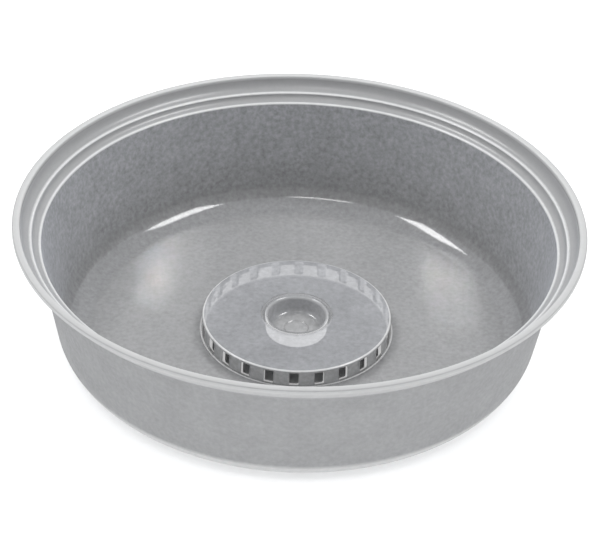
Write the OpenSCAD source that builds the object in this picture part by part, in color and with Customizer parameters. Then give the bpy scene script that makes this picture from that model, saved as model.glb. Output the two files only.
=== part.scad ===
// Round translucent drain pan with a flared, twice-stepped rim. A slotted vent
// cap drops into a rebate around the hole in the floor, and a small cup drops
// into the cap. The pan stands on its flat floor with its mouth up: +Z is up
// and the origin is at the middle of the underside. Millimetres.

/* [Pan] */
// Diameter over the lip
lip_d = 260; // [256:1:264]
// Height from the underside to the top of the lip
pan_h = 66.5; // [65:0.5:70]
// Thickness of the moulded floor, wall and rim
wall_t = 1.6; // [1.4:0.1:1.8]
// Outer radius of the corner between floor and wall
corner_r = 16; // [12:1:18]
// How far the wall leans out from the vertical, in degrees
wall_draft = 9; // [7:0.5:10]

/* [Rim] */
// Width of the flat top of the lip, with its rounded edges
lip_w = 3.5; // [2.7:0.1:3.8]
// Depth of the lip's bead below its top
lip_bead_h = 2; // [1.6:0.1:2.4]
// Radius of the upper step's inner edge
upper_step_r = 121.4; // [121:0.1:122]
// How far the upper step lies below the lip
upper_step_drop = 6.8; // [6.3:0.1:7.2]
// Radius of the lower step's inner edge, where the wall begins
lower_step_r = 117.4; // [117:0.1:118]
// How far the lower step lies below the upper one
lower_step_drop = 3.7; // [3.4:0.1:4.1]
// Rounding of the steps' edges
step_edge_r = 0.7; // [0.4:0.1:0.9]

/* [Vent cap] */
// Height of the cap's top above the underside of the pan
cap_top_z = 9.8; // [9:0.1:11]
// Outer radius of the slotted wall at its foot
cap_foot_r = 44.9; // [44.6:0.1:45]
// Outer radius of the slotted wall at its top
cap_head_r = 44.6; // [44:0.1:44.6]
// Thickness of the cap's wall and top
cap_t = 1.5; // [1.3:0.1:1.6]
// Radius of the flange round the cap's foot
flange_r = 45.4; // [45.3:0.1:46.5]
// Rounding of the cap's top edge
cap_edge_r = 1.2; // [0.8:0.1:1.4]
// Number of slots round the cap
slot_count = 24; // [12:1:30]
// Width of a slot
slot_w = 4; // [3:0.1:5]
// Height of a slot's lower edge above the underside
slot_low_z = 2.5; // [2.3:0.1:3]
// Height of a slot's upper edge above the underside
slot_high_z = 8.7; // [8:0.1:8.8]

/* [Cup] */
// Radius of the cup's mouth flange
cup_flange_r = 16.6; // [16.2:0.1:17]
// Thickness of the mouth flange
cup_flange_t = 0.8; // [0.6:0.1:1]
// Outer radius of the cup's wall under the flange
cup_top_r = 14.9; // [14.6:0.1:15.1]
// Outer radius of the cup's wall at its bottom
cup_base_r = 14.4; // [14:0.1:14.6]
// Thickness of the cup's wall
cup_wall_t = 1.3; // [1.1:0.1:1.5]
// Thickness of the cup's floor
cup_floor_t = 1.2; // [1:0.1:1.6]
// Height of the cup's underside above the pan's underside
cup_base_z = 0.2; // [0.1:0.1:0.6]
// Rounding inside the cup, between its wall and its floor
cup_fillet_r = 2.6; // [1:0.1:3]
// Rounding of the mouth's inner edge
mouth_r = 1.8; // [1.4:0.1:2]
// Radius of the low ring on the cup's floor
cup_ring_r = 5.2; // [4:0.1:7]

/* [Fits] */
// Sideways gap round a lift-out piece in its seat
seat_gap = 0.25; // [0.2:0.05:0.4]
// Gap under a lift-out piece in its seat
rest_gap = 0.1; // [0.05:0.05:0.15]
// Width of the ledge that the cap's flange rests on
ledge_w = 2.5; // [2.3:0.1:3]

/* [Hidden] */
$fn = 180;
steps = 8;

lip_r = lip_d / 2;
lip_in_r = lip_r - lip_w;
lip_top_in_r = 0.6;
lip_top_out_r = 0.8;
lip_under_r = 0.4;
upper_step_z = pan_h - upper_step_drop;
lower_step_z = upper_step_z - lower_step_drop;

ledge_z = wall_t / 2;
seat_r = flange_r + seat_gap;
hole_r = seat_r - ledge_w;
flange_z = ledge_z + rest_gap;

cap_in_r = cap_foot_r - cap_t;
cap_under_z = cap_top_z - cap_t;
cap_fillet_r = 0.8;
cup_hole_r = cup_top_r + seat_gap;
cup_seat_r = cup_flange_r + seat_gap;
cup_flange_z = cap_top_z - cup_flange_t;
cup_seat_z = cup_flange_z - rest_gap;
cup_floor_z = cup_base_z + cup_floor_t;
cup_corner_r = 1.2;
cup_ring_w = 0.8;
cup_ring_h = 0.3;

// Points on a circular arc from angle a0 to a1
function arc(c, r, a0, a1) =
    [for (i = [0:steps]) let (a = a0 + (a1 - a0) * i / steps)
        [c[0] + r * cos(a), c[1] + r * sin(a)]];

// Points on a hollow quarter ellipse. It lies flat at u = 0, at the lower
// end, and stands upright at u = 90, at the upper end.
function cove(c, a, b, u0, u1) =
    [for (i = [0:steps]) let (u = u0 + (u1 - u0) * i / steps)
        [c[0] + a * sin(u), c[1] - b * cos(u)]];

function flip(points) = [for (i = [len(points) - 1:-1:0]) points[i]];

// The centre of the floor corner, so that the wall meets the lower step
corner_in_r = corner_r - wall_t;
wall_top_z = lower_step_z - step_edge_r;
wall_run = (wall_top_z - corner_r + corner_in_r * sin(wall_draft)) / cos(wall_draft);
corner_x = lower_step_r - corner_in_r * cos(wall_draft) - wall_run * sin(wall_draft);
corner_c = [corner_x, corner_r];

// Each cove starts past the rounded edge of the step below it
upper_cove_c = [upper_step_r + step_edge_r, pan_h - lip_top_in_r];
upper_cove_a = lip_in_r - upper_cove_c[0];
upper_cove_b = upper_cove_c[1] - upper_step_z;
lower_cove_c = [lower_step_r + step_edge_r, upper_step_z - step_edge_r];
lower_cove_a = upper_step_r - lower_cove_c[0];
lower_cove_b = lower_cove_c[1] - lower_step_z;

// Where the outer faces of the rim meet each other
bead_u = acos((upper_cove_c[1] - pan_h + lip_bead_h) / (upper_cove_b + wall_t));
upper_out_u = asin((wall_t - step_edge_r) / (upper_cove_a + wall_t));
upper_out_z = upper_cove_c[1] - (upper_cove_b + wall_t) * cos(upper_out_u);
lower_start_u = acos((lower_cove_c[1] - upper_out_z) / (lower_cove_b + wall_t));
lower_out_u = asin((wall_t - step_edge_r + 0.1) / (lower_cove_a + wall_t));

pan_inside = concat(
    [[seat_r, wall_t]],
    arc(corner_c, corner_in_r, -90, -wall_draft),
    arc([lower_step_r + step_edge_r, wall_top_z], step_edge_r, 180, 90),
    cove(lower_cove_c, lower_cove_a, lower_cove_b, 10, 90),
    arc([upper_step_r + step_edge_r, upper_step_z - step_edge_r], step_edge_r, 170, 90),
    cove(upper_cove_c, upper_cove_a, upper_cove_b, 10, 90),
    arc([lip_in_r + lip_top_in_r, pan_h - lip_top_in_r], lip_top_in_r, 170, 90)
);
pan_outside = concat(
    arc([lip_r - lip_top_out_r, pan_h - lip_top_out_r], lip_top_out_r, 90, 0),
    arc([lip_r - lip_under_r, pan_h - lip_bead_h + lip_under_r], lip_under_r, 0, -90),
    cove(upper_cove_c, upper_cove_a + wall_t, upper_cove_b + wall_t, bead_u, upper_out_u),
    cove(lower_cove_c, lower_cove_a + wall_t, lower_cove_b + wall_t, lower_start_u - 4, lower_out_u),
    arc(corner_c, corner_r, -wall_draft, -90)
);
pan_hole = [[hole_r, 0], [hole_r, ledge_z], [seat_r, ledge_z]];

cap_outline = concat(
    [[cap_in_r, flange_z], [flange_r, flange_z], [flange_r, wall_t], [cap_foot_r, wall_t]],
    arc([cap_head_r - cap_edge_r, cap_top_z - cap_edge_r], cap_edge_r, 5, 90),
    [[cup_seat_r, cap_top_z], [cup_seat_r, cup_seat_z], [cup_hole_r, cup_seat_z]],
    [[cup_hole_r, cap_under_z]],
    arc([cap_head_r - cap_t - cap_fillet_r, cap_under_z - cap_fillet_r], cap_fillet_r, 90, 5)
);

cup_outline = concat(
    [[0, cup_base_z]],
    arc([cup_base_r - cup_corner_r, cup_base_z + cup_corner_r], cup_corner_r, -90, -3),
    [[cup_top_r, cup_flange_z], [cup_flange_r, cup_flange_z]],
    [[cup_flange_r, cap_top_z - 0.2], [cup_flange_r - 0.2, cap_top_z]],
    arc([cup_top_r - cup_wall_t + mouth_r, cap_top_z - mouth_r], mouth_r, 90, 177),
    flip(arc([cup_base_r - cup_wall_t - cup_fillet_r, cup_floor_z + cup_fillet_r], cup_fillet_r, -90, -3)),
    [[cup_ring_r + cup_ring_w, cup_floor_z], [cup_ring_r + cup_ring_w / 2, cup_floor_z + cup_ring_h]],
    [[cup_ring_r, cup_floor_z], [0, cup_floor_z]]
);

module slot_cutters() {
    for (i = [0:slot_count - 1])
        rotate([0, 0, i * 360 / slot_count])
            translate([cap_in_r - 3, -slot_w / 2, slot_low_z])
                cube([6, slot_w, slot_high_z - slot_low_z]);
}

// Floor, wall, stepped rim and lip, with the hole and rebate for the cap
module pan_shell() {
    color([0.80, 0.81, 0.83, 0.6])
        rotate_extrude()
            polygon(concat(pan_hole, pan_inside, pan_outside));
}

// Raised disc on a slotted wall, with a foot flange and a seat for the cup
module vent_cap() {
    color([0.84, 0.85, 0.86, 0.6])
        difference() {
            rotate_extrude()
                polygon(cap_outline);
            slot_cutters();
        }
}

// Small cup with a rounded mouth, hanging in the cap by its flange
module centre_cup() {
    color([0.88, 0.88, 0.88, 0.7])
        rotate_extrude()
            polygon(cup_outline);
}

pan_shell();
vent_cap();
centre_cup();
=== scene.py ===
"""Round translucent drain pan with a slotted vent cap and a lift-out cup.

Every piece is a turned (lathed) solid built from its cross-section, in the frame
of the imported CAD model: +Z up, origin under the middle of the pan. Sizes are in
millimetres and turn into metres where the meshes are made.
"""
import math

import bmesh
import bpy
from mathutils import Matrix, Vector


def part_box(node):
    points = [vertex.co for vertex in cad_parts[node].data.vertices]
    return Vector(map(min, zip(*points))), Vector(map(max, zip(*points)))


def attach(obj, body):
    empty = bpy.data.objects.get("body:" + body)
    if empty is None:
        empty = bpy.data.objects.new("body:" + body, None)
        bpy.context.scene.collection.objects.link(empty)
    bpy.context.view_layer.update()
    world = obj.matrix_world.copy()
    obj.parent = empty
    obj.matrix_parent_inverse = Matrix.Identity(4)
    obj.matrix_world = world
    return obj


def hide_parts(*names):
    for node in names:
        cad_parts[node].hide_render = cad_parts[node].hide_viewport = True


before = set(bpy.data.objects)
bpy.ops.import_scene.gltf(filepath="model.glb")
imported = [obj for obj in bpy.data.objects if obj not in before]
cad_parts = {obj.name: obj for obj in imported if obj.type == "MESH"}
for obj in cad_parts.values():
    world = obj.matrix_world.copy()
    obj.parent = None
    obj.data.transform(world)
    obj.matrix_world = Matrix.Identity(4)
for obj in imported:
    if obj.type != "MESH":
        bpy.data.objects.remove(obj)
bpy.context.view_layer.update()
MM = 0.001
ARC_STEPS = 12
# Steps round the axis
PAN_STEPS = 256
CAP_STEPS = 240
CUP_STEPS = 160
# Edges that turn by more degrees than these are shaded sharp, or rounded
SHARP_ANGLE = 32
BEVEL_ANGLE = 40

# ---------------------------------------------------------------- sizes, in mm
pan_low, pan_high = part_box("pan_shell")
cap_low, cap_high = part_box("vent_cap")
cup_low, cup_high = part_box("centre_cup")
LIP_R = pan_high.x / MM
PAN_H = pan_high.z / MM
WALL_T = 1.6
CORNER_R = 16.0
WALL_DRAFT = 9.0  # degrees
LIP_W = 3.5
LIP_BEAD_H = 2.0
LIP_TOP_IN_R = 0.6
LIP_TOP_OUT_R = 0.8
LIP_UNDER_R = 0.4
UPPER_STEP_R = LIP_R - 8.6
UPPER_STEP_Z = PAN_H - 6.8
LOWER_STEP_R = LIP_R - 12.6
LOWER_STEP_Z = UPPER_STEP_Z - 3.7
STEP_EDGE_R = 0.7
COVE_START = 12  # degrees, where a cove comes out from behind the rounded edge below it

FLANGE_R = cap_high.x / MM
CAP_TOP_Z = cap_high.z / MM
CAP_FOOT_R = FLANGE_R - 0.5
CAP_HEAD_R = FLANGE_R - 0.8
CAP_T = 1.5
CAP_EDGE_R = 1.2
CAP_FILLET_R = 0.8
SLOT_COUNT = 24
SLOT_W = 4.0
SLOT_LOW_Z = 2.5
SLOT_HIGH_Z = 8.7
SLOT_EDGE_R = 0.3

CUP_FLANGE_R = cup_high.x / MM
CUP_FLANGE_T = 0.8
CUP_FLANGE_EDGE_R = 0.3
CUP_TOP_R = CUP_FLANGE_R - 1.7
CUP_BASE_R = CUP_TOP_R - 0.5
CUP_WALL_T = 1.3
CUP_FLOOR_T = 1.2
CUP_BASE_Z = cup_low.z / MM
CUP_CORNER_R = 1.2
CUP_FILLET_R = 2.6
MOUTH_R = 1.8
CUP_RING_R = 5.2
CUP_RING_W = 0.8
CUP_RING_H = 0.3

SEAT_GAP = 0.25
REST_GAP = 0.1
LEDGE_Z = WALL_T / 2
SEAT_R = FLANGE_R + SEAT_GAP
LEDGE_W = 2.5
HOLE_R = SEAT_R - LEDGE_W
# Short steps in which one finish gives way to the next
HAIR = 0.02
FLANGE_ROOT = 0.1
TOP_RUN_IN = 0.6


# ---------------------------------------------------------------- finishes, with painted light and shade
# What each stretch of surface looks like, all from 0 to 1 but grain: its grey (linear),
# set stretch by stretch so that it holds painted light and shade as well as the plastic's
# own grey, how bluish it is, its opacity, its roughness, how strong its mottle is, and its
# painted glow, light given out toward the eye that lights nothing else
SURFACE = ("tone", "cool", "solid", "satin", "grain", "painted_glow")
FINISHES = {
    "pan_floor": (0.217, 0.05, 0.86, 0.08, 0.6, 0.0),
    "corner": (0.208, 0.2, 0.86, 0.09, 0.7, 0.0),
    # Painted shade: the upper part of the inner corner darker than the floor and the wall
    "corner_shade": (0.162, 0.1, 0.88, 0.13, 0.9, 0.0),
    # Painted shade: the inner wall darker towards its foot
    "wall_low": (0.213, 0.2, 0.88, 0.16, 1.1, 0.0),
    "wall_middle": (0.254, 0.4, 0.88, 0.17, 1.1, 0.0),
    "wall_high": (0.282, 0.5, 0.88, 0.18, 1.1, 0.0),
    # Painted highlight: the rounded ridges far lighter than the treads and risers beside them
    "ridge": (0.55, 0.0, 0.92, 0.25, 0.15, 0.0),
    "tread": (0.262, 0.05, 0.88, 0.3, 0.1, 0.0),
    "riser": (0.265, 0.1, 0.88, 0.3, 0.1, 0.0),
    # Painted highlight: the lip's edges, top and flare lighter than the wall below
    "lip_edge_highlight": (0.47, 0.0, 0.92, 0.28, 0.05, 0.0),
    "lip_top": (0.43, 0.0, 0.92, 0.3, 0.05, 0.0),
    "lip_rim": (0.38, 0.0, 0.92, 0.35, 0.05, 0.0),
    "lip_flare": (0.51, 0.0, 0.92, 0.35, 0.1, 0.0),
    "outside_high": (0.335, 0.1, 0.88, 0.38, 0.3, 0.0),
    "outside_low": (0.357, 0.1, 0.88, 0.38, 0.3, 0.0),
    # Painted highlight, with a little painted glow, along the base's rounded edge
    "base_edge_highlight": (0.52, 0.0, 0.92, 0.38, 0.2, 0.05),
    "underside": (0.45, 0.1, 0.8, 0.4, 0.4, 0.0),
    # Painted glow on the seat and the cap's flange, lightening the shade in the gap round the cap's
    # foot
    "seat": (0.45, 0.1, 0.8, 0.4, 0.3, 0.18),
    "cap_flange": (0.5, 0.0, 0.88, 0.3, 0.3, 0.1),
    "cap_wall": (0.31, 0.1, 0.9, 0.25, 0.6, 0.0),
    # Painted highlight, with a little painted glow, on the cap's rounded top edge
    "cap_edge_highlight": (0.52, 0.0, 0.92, 0.25, 0.2, 0.05),
    "cap_top": (0.44, 0.45, 0.55, 0.14, 0.5, 0.0),
    "cap_under": (0.5, 0.2, 0.2, 0.3, 0.3, 0.0),
    # Painted glow: the inside of the cap's wall and the outside of the cup, seen through the disc,
    # lit from within
    "cap_inside": (0.65, 0.0, 0.9, 0.3, 0.3, 0.55),
    "cup_outside": (0.25, 0.0, 0.95, 0.3, 0.3, 0.78),
    # Painted glow, weaker, on the cup's base and on the seat under its flange
    "cup_base": (0.45, 0.1, 0.95, 0.35, 0.3, 0.12),
    "cup_seat": (0.5, 0.2, 0.4, 0.3, 0.2, 0.3),
    "cup_flange_under": (0.45, 0.1, 0.05, 0.3, 0.2, 0.0),
    "cup_flange": (0.42, 0.3, 0.35, 0.2, 0.2, 0.0),
    "cup_mouth": (0.32, 0.3, 0.85, 0.18, 0.2, 0.0),
    "cup_inside": (0.3, 0.5, 0.9, 0.16, 0.5, 0.0),
    "cup_floor": (0.315, 0.1, 0.9, 0.16, 0.5, 0.0),
    "cup_ring": (0.3, 0.0, 0.9, 0.16, 0.3, 0.0),
}

# ---------------------------------------------------------------- camera, in metres
CAMERA_AIM = Vector((0.00045, 0.0, 0.030))
CAMERA_DISTANCE = 0.894
CAMERA_LENS = 115.7  # mm, on a sensor 36 mm wide
CAMERA_AZIMUTH = math.radians(0.3)
CAMERA_ELEVATION = math.radians(35.15)
CAMERA_ROLL = math.radians(2.08)


def add_camera():
    """The photo's view: from the front and above, rolled a little."""
    data = bpy.data.cameras.new("camera")
    data.sensor_width = 36.0
    data.lens = CAMERA_LENS
    turn = Matrix.Rotation(CAMERA_AZIMUTH, 3, "Z")
    turn = turn @ Matrix.Rotation(math.pi / 2 - CAMERA_ELEVATION, 3, "X")
    camera = bpy.data.objects.new("camera", data)
    camera.matrix_world = Matrix.LocRotScale(
        CAMERA_AIM + turn @ Vector((0, 0, CAMERA_DISTANCE)),
        turn @ Matrix.Rotation(CAMERA_ROLL, 3, "Z"),
        None,
    )
    bpy.context.scene.collection.objects.link(camera)
    bpy.context.scene.camera = camera


# ---------------------------------------------------------------- outlines
def arc(centre, radius, start, end, steps=ARC_STEPS):
    """Points of a circular arc between two angles in degrees."""
    points = []
    for i in range(steps + 1):
        a = math.radians(start + (end - start) * i / steps)
        points.append((centre[0] + radius * math.cos(a), centre[1] + radius * math.sin(a)))
    return points


def cove(centre, a, b, start, end, steps=ARC_STEPS):
    """Points of a hollow quarter ellipse, flat at 0 degrees and upright at 90."""
    points = []
    for i in range(steps + 1):
        u = math.radians(start + (end - start) * i / steps)
        points.append((centre[0] + a * math.sin(u), centre[1] - b * math.cos(u)))
    return points


def line(start, end, steps=6):
    """Points of a straight line, both ends included."""
    return [
        (start[0] + (end[0] - start[0]) * i / steps, start[1] + (end[1] - start[1]) * i / steps)
        for i in range(steps + 1)
    ]


def finish(points, first, last=None):
    """Adds a finish, named in FINISHES with its painted light and shade, to a stretch of
    outline. It runs from the first to the last finish where two are named."""
    start = FINISHES[first]
    end = FINISHES[last or first]
    steps = max(len(points) - 1, 1)
    return [
        (*p, *(a + (b - a) * i / steps for a, b in zip(start, end)))
        for i, p in enumerate(points)
    ]


def pan_outline():
    """The pan's inside, up into the upper cove, and the rest of its cross-section from
    the top of that cove over the lip to the hole."""
    corner_in_r = CORNER_R - WALL_T
    wall_top_z = LOWER_STEP_Z - STEP_EDGE_R
    draft = math.radians(WALL_DRAFT)
    wall_run = (wall_top_z - CORNER_R + corner_in_r * math.sin(draft)) / math.cos(draft)
    corner_x = LOWER_STEP_R - corner_in_r * math.cos(draft) - wall_run * math.sin(draft)
    corner = (corner_x, CORNER_R)

    upper_c = (UPPER_STEP_R + STEP_EDGE_R, PAN_H - LIP_TOP_IN_R)
    upper_a = LIP_R - LIP_W - upper_c[0]
    upper_b = upper_c[1] - UPPER_STEP_Z
    lower_c = (LOWER_STEP_R + STEP_EDGE_R, UPPER_STEP_Z - STEP_EDGE_R)
    lower_a = UPPER_STEP_R - lower_c[0]
    lower_b = lower_c[1] - LOWER_STEP_Z
    bead_u = math.degrees(math.acos((upper_c[1] - PAN_H + LIP_BEAD_H) / (upper_b + WALL_T)))
    upper_out_u = math.degrees(math.asin((WALL_T - STEP_EDGE_R) / (upper_a + WALL_T)))
    upper_out_z = upper_c[1] - (upper_b + WALL_T) * math.cos(math.radians(upper_out_u))
    lower_start_u = math.degrees(math.acos((lower_c[1] - upper_out_z) / (lower_b + WALL_T)))
    lower_out_u = math.degrees(math.asin((WALL_T - STEP_EDGE_R + 0.1) / (lower_a + WALL_T)))

    # The floor stops short of the corner, and the wall just below the lower ridge
    floor_end = (corner[0] - 1, WALL_T)
    inner_corner = arc(corner, corner_in_r, -90, -WALL_DRAFT, 24)
    lower_edge = arc((LOWER_STEP_R + STEP_EDGE_R, wall_top_z), STEP_EDGE_R, 180, 90)
    wall_end = (lower_edge[0][0], lower_edge[0][1] - 0.15)
    inner_wall = line(inner_corner[-1], wall_end, 16)
    lower_cove = cove(lower_c, lower_a, lower_b, COVE_START, 90)
    upper_edge_c = (UPPER_STEP_R + STEP_EDGE_R, UPPER_STEP_Z - STEP_EDGE_R)
    upper_edge = arc(upper_edge_c, STEP_EDGE_R, 170, 90)
    upper_cove = cove(upper_c, upper_a, upper_b, COVE_START, 90)

    lip_in_c = (LIP_R - LIP_W + LIP_TOP_IN_R, PAN_H - LIP_TOP_IN_R)
    lip_in = arc(lip_in_c, LIP_TOP_IN_R, 170, 90)
    lip_out = arc((LIP_R - LIP_TOP_OUT_R, PAN_H - LIP_TOP_OUT_R), LIP_TOP_OUT_R, 90, 0)
    lip_top = line(lip_in[-1], lip_out[0], 6)
    lip_bead_c = (LIP_R - LIP_UNDER_R, PAN_H - LIP_BEAD_H + LIP_UNDER_R)
    lip_bead = arc(lip_bead_c, LIP_UNDER_R, 0, -90, 5)
    upper_out = cove(upper_c, upper_a + WALL_T, upper_b + WALL_T, bead_u, upper_out_u)
    lower_out = cove(lower_c, lower_a + WALL_T, lower_b + WALL_T, lower_start_u - 4, lower_out_u)
    outer_corner = arc(corner, CORNER_R, -WALL_DRAFT, -90, 24)
    outer_wall = line(lower_out[-1], outer_corner[0], 12)
    inside = (
        finish([(SEAT_R, WALL_T - HAIR)], "seat")
        + finish(line((SEAT_R, WALL_T), floor_end, 24), "pan_floor")
        + finish(inner_corner[:5], "pan_floor", "corner")
        + finish(inner_corner[5:13], "corner")
        + finish(inner_corner[13:15], "corner", "corner_shade")
        + finish(inner_corner[15:20], "corner_shade")
        + finish(inner_corner[20:], "corner_shade", "wall_low")
        + finish(inner_wall[1:7], "wall_low", "wall_middle")
        + finish(inner_wall[7:], "wall_middle", "wall_high")
        + finish(lower_edge, "ridge")
        + finish(lower_cove, "tread", "riser")
        + finish(upper_edge, "ridge")
        + finish(upper_cove[:10], "tread", "riser")
    )
    outside = (
        finish(upper_cove[10:], "riser", "lip_edge_highlight")
        + finish(lip_in, "lip_edge_highlight")
        + finish(lip_top[1:-1], "lip_edge_highlight", "lip_top")
        + finish(lip_out[:4], "lip_top", "lip_rim")
        + finish(lip_out[4:8], "lip_rim")
        + finish(lip_out[8:], "lip_flare")
        + finish(lip_bead, "lip_flare")
        + finish(upper_out, "lip_flare", "outside_high")
        + finish(lower_out, "outside_high")
        + finish(outer_wall[1:-1], "outside_high", "outside_low")
        + finish(outer_corner[:2], "outside_low")
        + finish(outer_corner[2:6], "outside_low", "base_edge_highlight")
        + finish(outer_corner[6:], "base_edge_highlight")
        + finish(line((floor_end[0], 0), (HOLE_R, 0), 12), "underside")
        + finish([(HOLE_R, LEDGE_Z), (SEAT_R, LEDGE_Z)], "seat")
    )
    return inside, outside


def cap_outline():
    """The cap's cross-section, from its foot up the outside, in to the cup's seat and
    back under its top."""
    foot_in_r = CAP_FOOT_R - CAP_T
    flange_z = LEDGE_Z + REST_GAP
    under_z = CAP_TOP_Z - CAP_T
    cup_hole_r = CUP_TOP_R + SEAT_GAP
    cup_seat_r = CUP_FLANGE_R + SEAT_GAP
    cup_seat_z = CAP_TOP_Z - CUP_FLANGE_T - REST_GAP
    edge = arc((CAP_HEAD_R - CAP_EDGE_R, CAP_TOP_Z - CAP_EDGE_R), CAP_EDGE_R, 5, 90)
    fillet_c = (CAP_HEAD_R - CAP_T - CAP_FILLET_R, under_z - CAP_FILLET_R)
    fillet = arc(fillet_c, CAP_FILLET_R, 90, 5)
    return (
        finish([(foot_in_r, flange_z), (FLANGE_R, flange_z)], "cap_flange")
        + finish([(FLANGE_R, WALL_T), (CAP_FOOT_R, WALL_T)], "cap_flange")
        + finish(line((CAP_FOOT_R, WALL_T + HAIR), edge[0], 8), "cap_wall")
        + finish(edge[:5], "cap_wall")
        + finish(edge[5:11], "cap_edge_highlight")
        + finish(edge[11:], "cap_top")
        + finish(line((edge[-1][0] - TOP_RUN_IN, CAP_TOP_Z), (cup_seat_r, CAP_TOP_Z), 20), "cap_top")
        + finish([(cup_seat_r, CAP_TOP_Z - HAIR), (cup_seat_r, cup_seat_z)], "cup_seat")
        + finish([(cup_hole_r, cup_seat_z)], "cap_under")
        + finish(line((cup_hole_r, under_z), fillet[0], 12), "cap_under")
        + finish(fillet, "cap_under", "cap_inside")
        + finish(line(fillet[-1], (foot_in_r, flange_z), 8)[1:-1], "cap_inside")
    )


def cup_outline():
    """The cup's cross-section, from the middle of its base up the outside, over the
    flange and down the inside."""
    floor_z = CUP_BASE_Z + CUP_FLOOR_T
    mouth_c = (CUP_TOP_R - CUP_WALL_T + MOUTH_R, CAP_TOP_Z - MOUTH_R)
    flange_edge_c = (CUP_FLANGE_R - CUP_FLANGE_EDGE_R, CAP_TOP_Z - CUP_FLANGE_EDGE_R)
    flange_edge = arc(flange_edge_c, CUP_FLANGE_EDGE_R, 0, 90, 4)
    outer_base_c = (CUP_BASE_R - CUP_CORNER_R, CUP_BASE_Z + CUP_CORNER_R)
    outer_base = arc(outer_base_c, CUP_CORNER_R, -90, -3)
    inner_base_c = (CUP_BASE_R - CUP_WALL_T - CUP_FILLET_R, floor_z + CUP_FILLET_R)
    inner_base = arc(inner_base_c, CUP_FILLET_R, -3, -90)
    mouth = arc(mouth_c, MOUTH_R, 90, 177)
    ring_mid = CUP_RING_R + CUP_RING_W / 2
    flange_low_z = CAP_TOP_Z - CUP_FLANGE_T
    outer_wall = line(outer_base[-1], (CUP_TOP_R, flange_low_z), 8)
    return (
        finish(line((0, CUP_BASE_Z), outer_base[0], 6)[:-1], "cup_base")
        + finish(outer_base, "cup_base", "cup_outside")
        + finish(outer_wall[1:], "cup_outside")
        + finish([(CUP_TOP_R + FLANGE_ROOT, flange_low_z)], "cup_flange_under")
        + finish([(CUP_FLANGE_R, flange_low_z)], "cup_seat")
        + finish(flange_edge, "cup_seat", "cup_flange")
        + finish(mouth[:5], "cup_flange", "cup_mouth")
        + finish(mouth[5:10], "cup_mouth")
        + finish(mouth[10:], "cup_mouth", "cup_inside")
        + finish(line(mouth[-1], inner_base[0], 8)[1:-1], "cup_inside")
        + finish(inner_base, "cup_inside", "cup_floor")
        + finish([(CUP_RING_R + CUP_RING_W, floor_z)], "cup_floor")
        + finish([(ring_mid, floor_z + CUP_RING_H)], "cup_ring")
        + finish([(CUP_RING_R, floor_z)], "cup_floor")
        + finish(line((CUP_RING_R - 1, floor_z), (0, floor_z), 4), "cup_floor")
    )


# ---------------------------------------------------------------- mesh work
def store(mesh, name, values):
    """Gives each corner of a mesh a number that its material can read by name."""
    attribute = mesh.attributes.new(name, "FLOAT", "POINT")
    attribute.data.foreach_set("value", values)


def lathe(name, outline, steps, second=None):
    """Turns a closed outline about +Z. Points on the axis become poles. From the point
    whose number is second, where it is given, faces take the second material."""
    mesh = bmesh.new()
    rings = []
    values = []
    for r, z, *surface in outline:
        if r < 1e-6:
            ring = [mesh.verts.new((0, 0, z * MM))] * steps
            values.append(surface)
        else:
            ring = []
            for i in range(steps):
                a = 2 * math.pi * i / steps
                ring.append(mesh.verts.new((r * MM * math.cos(a), r * MM * math.sin(a), z * MM)))
                values.append(surface)
        rings.append(ring)
    for j, ring in enumerate(rings):
        above = rings[(j + 1) % len(rings)]
        for i in range(steps):
            k = (i + 1) % steps
            corners = [ring[i], ring[k], above[k], above[i]]
            corners = list(dict.fromkeys(corners))
            if len(corners) > 2:
                face = mesh.faces.new(corners)
                face.material_index = int(second is not None and j >= second)
    bmesh.ops.recalc_face_normals(mesh, faces=mesh.faces)
    data = bpy.data.meshes.new(name)
    mesh.to_mesh(data)
    mesh.free()
    for index, label in enumerate(SURFACE):
        store(data, label, [v[index] for v in values])
    return link(name, data)


def link(name, data):
    piece = bpy.data.objects.new(name, data)
    bpy.context.scene.collection.objects.link(piece)
    return piece


def smooth(piece):
    """Shades a piece smoothly, but for its sharp edges."""
    piece.data.polygons.foreach_set("use_smooth", [True] * len(piece.data.polygons))
    piece.data.set_sharp_from_angle(angle=math.radians(SHARP_ANGLE))


def slot_cutters():
    """One box for each slot, four times as deep as the cap's wall is thick."""
    mesh = bmesh.new()
    size = Vector((4 * CAP_T, SLOT_W, SLOT_HIGH_Z - SLOT_LOW_Z)) * MM
    centre = Vector((CAP_FOOT_R - CAP_T, 0, (SLOT_HIGH_Z + SLOT_LOW_Z) / 2)) * MM
    for i in range(SLOT_COUNT):
        turn = Matrix.Rotation(2 * math.pi * i / SLOT_COUNT, 4, "Z")
        place = turn @ Matrix.LocRotScale(centre, None, size)
        bmesh.ops.create_cube(mesh, size=1, matrix=place)
    data = bpy.data.meshes.new("slot_cutters")
    mesh.to_mesh(data)
    mesh.free()
    return link("slot_cutters", data)


def cut_slots(cap):
    """Cuts the slots for good, so that only the rounding is left as a modifier."""
    cutters = slot_cutters()
    cut = cap.modifiers.new("slots", "BOOLEAN")
    cut.object = cutters
    cut.operation = "DIFFERENCE"
    cut.solver = "EXACT"
    depsgraph = bpy.context.evaluated_depsgraph_get()
    data = bpy.data.meshes.new_from_object(cap.evaluated_get(depsgraph))
    cap.modifiers.clear()
    cap.data = data
    bpy.data.objects.remove(cutters)


def round_slots(cap):
    """Rounds the cap's sharp edges with its second material, whose doubled tone is a painted
    highlight.
    """
    bevel = cap.modifiers.new("slot_edges", "BEVEL")
    bevel.width = SLOT_EDGE_R * MM
    bevel.segments = 2
    bevel.limit_method = "ANGLE"
    bevel.angle_limit = math.radians(BEVEL_ANGLE)
    bevel.material = 1


# ---------------------------------------------------------------- materials
# How strong the mottle's two scales are
CLOUD = 0.4
FLECK = 1.1
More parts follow.
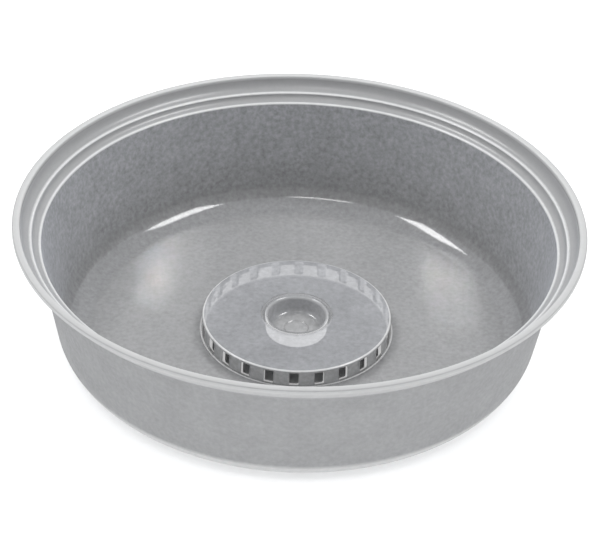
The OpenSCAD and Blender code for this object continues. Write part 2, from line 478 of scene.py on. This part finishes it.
# How much red and green a fully bluish grey loses
RED_LOSS = 0.12
GREEN_LOSS = 0.09


def value(tree, operation, a, b=None, clamp=False):
    """A math node's output. Each input is a number or another node's output."""
    node = tree.nodes.new("ShaderNodeMath")
    node.operation = operation
    node.use_clamp = clamp
    for socket, source in zip(node.inputs, (a, b)):
        if isinstance(source, (int, float)):
            socket.default_value = source
        elif source is not None:
            tree.links.new(source, socket)
    return node.outputs[0]


def attribute(tree, name):
    """One of the numbers that lathe stored, named in SURFACE."""
    node = tree.nodes.new("ShaderNodeAttribute")
    node.attribute_name = name
    return node.outputs["Fac"]


def tinted(tree, amount, cool):
    """A grey of the given amount. Cool, from 0 to 1, takes some red and green away."""
    node = tree.nodes.new("ShaderNodeCombineColor")
    for channel, loss in (("Red", RED_LOSS), ("Green", GREEN_LOSS)):
        share = value(tree, "SUBTRACT", 1.0, value(tree, "MULTIPLY", cool, loss))
        tree.links.new(value(tree, "MULTIPLY", amount, share), node.inputs[channel])
    tree.links.new(amount, node.inputs["Blue"])
    return node.outputs[0]


def noise(tree, place, grain, detail, roughness=0.5):
    """Noise with features about as large as grain, in metres, centred on zero."""
    node = tree.nodes.new("ShaderNodeTexNoise")
    node.inputs["Scale"].default_value = 0.5 / grain
    node.inputs["Detail"].default_value = detail
    node.inputs["Roughness"].default_value = roughness
    tree.links.new(place, node.inputs["Vector"])
    return value(tree, "SUBTRACT", node.outputs["Fac"], 0.5)


def plastic(name, density, tone_shift=1.0, sheen=0.0, shine=0.5):
    """Milky moulded plastic: a mottled grey whose tone, which holds painted light and shade,
    opacity and gloss follow the outline. The eye meets the finish's own opacity, but scattered
    light meets the density. The painted glow lights nothing. A tone_shift of more than 1 brightens
    every tone."""
    material = bpy.data.materials.new(name)
    material.use_nodes = True
    tree = material.node_tree
    shader = tree.nodes["Principled BSDF"]
    place = tree.nodes.new("ShaderNodeTexCoord").outputs["Object"]
    clouds = value(tree, "MULTIPLY", noise(tree, place, 0.008, 3), CLOUD)
    flecks = value(tree, "MULTIPLY", noise(tree, place, 0.0011, 2, 0.6), FLECK)
    speckle = value(tree, "MULTIPLY", value(tree, "ADD", clouds, flecks), attribute(tree, "grain"))
    tone = value(tree, "MULTIPLY", attribute(tree, "tone"), value(tree, "ADD", speckle, tone_shift))
    cool = attribute(tree, "cool")
    tree.links.new(tinted(tree, tone, cool), shader.inputs["Base Color"])
    solid = value(tree, "ADD", attribute(tree, "solid"), value(tree, "MULTIPLY", clouds, 0.3))
    path = tree.nodes.new("ShaderNodeLightPath").outputs
    scattered = value(tree, "ADD", path["Is Shadow Ray"], path["Is Diffuse Ray"], True)
    seen = value(tree, "SUBTRACT", 1.0, scattered)
    dense = value(tree, "MULTIPLY", scattered, density)
    alpha = value(tree, "ADD", value(tree, "MULTIPLY", solid, seen), dense, True)
    tree.links.new(alpha, shader.inputs["Alpha"])
    gloss = value(tree, "ADD", attribute(tree, "satin"), value(tree, "MULTIPLY", flecks, 0.03), True)
    tree.links.new(gloss, shader.inputs["Roughness"])
    shader.inputs["IOR"].default_value = 1.49
    shader.inputs["Specular IOR Level"].default_value = shine
    shader.inputs["Sheen Weight"].default_value = sheen
    shader.inputs["Sheen Roughness"].default_value = 0.5
    shader.inputs["Sheen Tint"].default_value = (0.86, 0.9, 1.0, 1.0)
    # Painted glow: diffuse rays don't see it and it is never sampled as a lamp, so it lights nothing
    # around it
    painted_glow = value(tree, "MULTIPLY", attribute(tree, "painted_glow"), seen)
    tree.links.new(tinted(tree, painted_glow, cool), shader.inputs["Emission Color"])
    material.cycles.emission_sampling = "NONE"
    shader.inputs["Emission Strength"].default_value = 1.0
    bump = tree.nodes.new("ShaderNodeBump")
    bump.inputs["Strength"].default_value = 0.25
    bump.inputs["Distance"].default_value = 0.0003
    ripple = value(tree, "MULTIPLY", noise(tree, place, 0.012, 2), attribute(tree, "grain"))
    tree.links.new(ripple, bump.inputs["Height"])
    tree.links.new(bump.outputs["Normal"], shader.inputs["Normal"])
    return material


# ---------------------------------------------------------------- surroundings, in metres
def add_floor():
    """The plain pale floor that the pan stands on."""
    bpy.ops.mesh.primitive_plane_add(size=8)
    floor = bpy.context.object
    floor.name = "floor"
    material = bpy.data.materials.new("pale_floor")
    material.use_nodes = True
    shader = material.node_tree.nodes["Principled BSDF"]
    shader.inputs["Base Color"].default_value = (0.92, 0.92, 0.92, 1)
    shader.inputs["Roughness"].default_value = 0.9
    shader.inputs["Specular IOR Level"].default_value = 0.1
    floor.data.materials.append(material)
    return floor


def add_light(name, place, width, depth, power):
    """A rectangular lamp that points at the origin and that the camera can't see."""
    data = bpy.data.lights.new(name, "AREA")
    data.shape = "RECTANGLE"
    data.size = width
    data.size_y = depth
    data.energy = power
    light = bpy.data.objects.new(name, data)
    # Subtracted, as the negative zeros of -Vector(place) turn an overhead lamp half round
    way = Vector() - Vector(place)
    light.matrix_world = Matrix.LocRotScale(Vector(place), way.to_track_quat("-Z", "Y"), None)
    light.visible_camera = False
    bpy.context.scene.collection.objects.link(light)
    return light


def group(name, *things):
    """A collection that lamps use to pick what they light or what blocks them."""
    collection = bpy.data.collections.new(name)
    for thing in things:
        collection.objects.link(thing)
    return collection


def add_lights(floor, pan, cap, cup):
    """Softboxes only for highlights, keys only for the pieces, a wash only for the pale
    floor, and two small panels that shine through the pan's wall onto its floor."""
    pieces = group("pieces", pan, cap, cup)
    floor_only = group("floor_only", floor)
    all_but_pan = group("all_but_pan", floor, cap, cup)
    for name, place, width, depth, power in (
        ("softbox_right", (0.68, -0.08, 0.98), 0.60, 0.28, 9.0),
        ("softbox_left", (-0.63, 0.12, 0.98), 0.60, 0.24, 8.0),
        ("softbox_front", (-0.14, -0.58, 1.00), 0.44, 0.07, 1.8),
    ):
        softbox = add_light(name, place, width, depth, power)
        softbox.visible_diffuse = False
    for name, place in (("key_right", (0.50, 0.30, 1.0)), ("key_left", (-0.50, 0.30, 1.0))):
        key = add_light(name, place, 0.30, 0.44, 5.8)
        key.visible_glossy = False
        key.light_linking.receiver_collection = pieces
    wash = add_light("floor_wash", (0, 0, 2.5), 3.0, 3.0, 84)
    wash.light_linking.receiver_collection = floor_only
    for name, place, lean, power in (
        ("panel_left", (-0.127, 0.69, 0.447), -18, 0.018),
        ("panel_right", (0.131, 0.69, 0.450), 20, 0.021),
    ):
        panel = add_light(name, place, 0.038, 0.080, power)
        panel.matrix_world = panel.matrix_world @ Matrix.Rotation(math.radians(lean), 4, "Z")
        panel.visible_diffuse = False
        panel.data.cycles.use_multiple_importance_sampling = False
        panel.light_linking.blocker_collection = all_but_pan
    world = bpy.data.worlds.new("studio")
    world.use_nodes = True
    back = world.node_tree.nodes["Background"]
    back.inputs["Color"].default_value = (0.97, 0.985, 1.0, 1)
    back.inputs["Strength"].default_value = 0.82
    bpy.context.scene.world = world


# ---------------------------------------------------------------- the object
PAN_DENSITY = 0.38
CAP_DENSITY = 0.99
CUP_DENSITY = 0.95


def build():
    """Makes the three pieces, each on its body and in place of its CAD part."""
    inner_plastic = plastic("pan_inner_plastic", PAN_DENSITY, sheen=0.25)
    pan_plastic = plastic("pan_plastic", PAN_DENSITY, shine=0.0)
    cap_plastic = plastic("cap_plastic", CAP_DENSITY)
    # Its doubled tone is a painted highlight on the rounded edges of the slots
    slot_highlight_plastic = plastic("cap_slot_highlight_plastic", CAP_DENSITY, tone_shift=2.0)
    cup_plastic = plastic("cup_plastic", CUP_DENSITY)

    inside, outside = pan_outline()
    pan = lathe("pan", inside + outside, PAN_STEPS, second=len(inside))
    cap = lathe("vent_cap_shell", cap_outline(), CAP_STEPS)
    cut_slots(cap)
    round_slots(cap)
    cup = lathe("cup", cup_outline(), CUP_STEPS)
    for piece, materials, node, body, slot in (
        (pan, [inner_plastic, pan_plastic], "pan_shell", "pan", "pan_plastic"),
        (cap, [cap_plastic, slot_highlight_plastic], "vent_cap", "cap", "cap_plastic"),
        (cup, [cup_plastic], "centre_cup", "cup", "cup_plastic"),
    ):
        for material in materials:
            piece.data.materials.append(material)
        smooth(piece)
        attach(piece, body)
        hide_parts(node)
    return pan, cap, cup


add_camera()
add_lights(add_floor(), *build())
bpy.context.scene.view_settings.view_transform = "Standard"
bpy.context.scene.cycles.transparent_max_bounces = 24
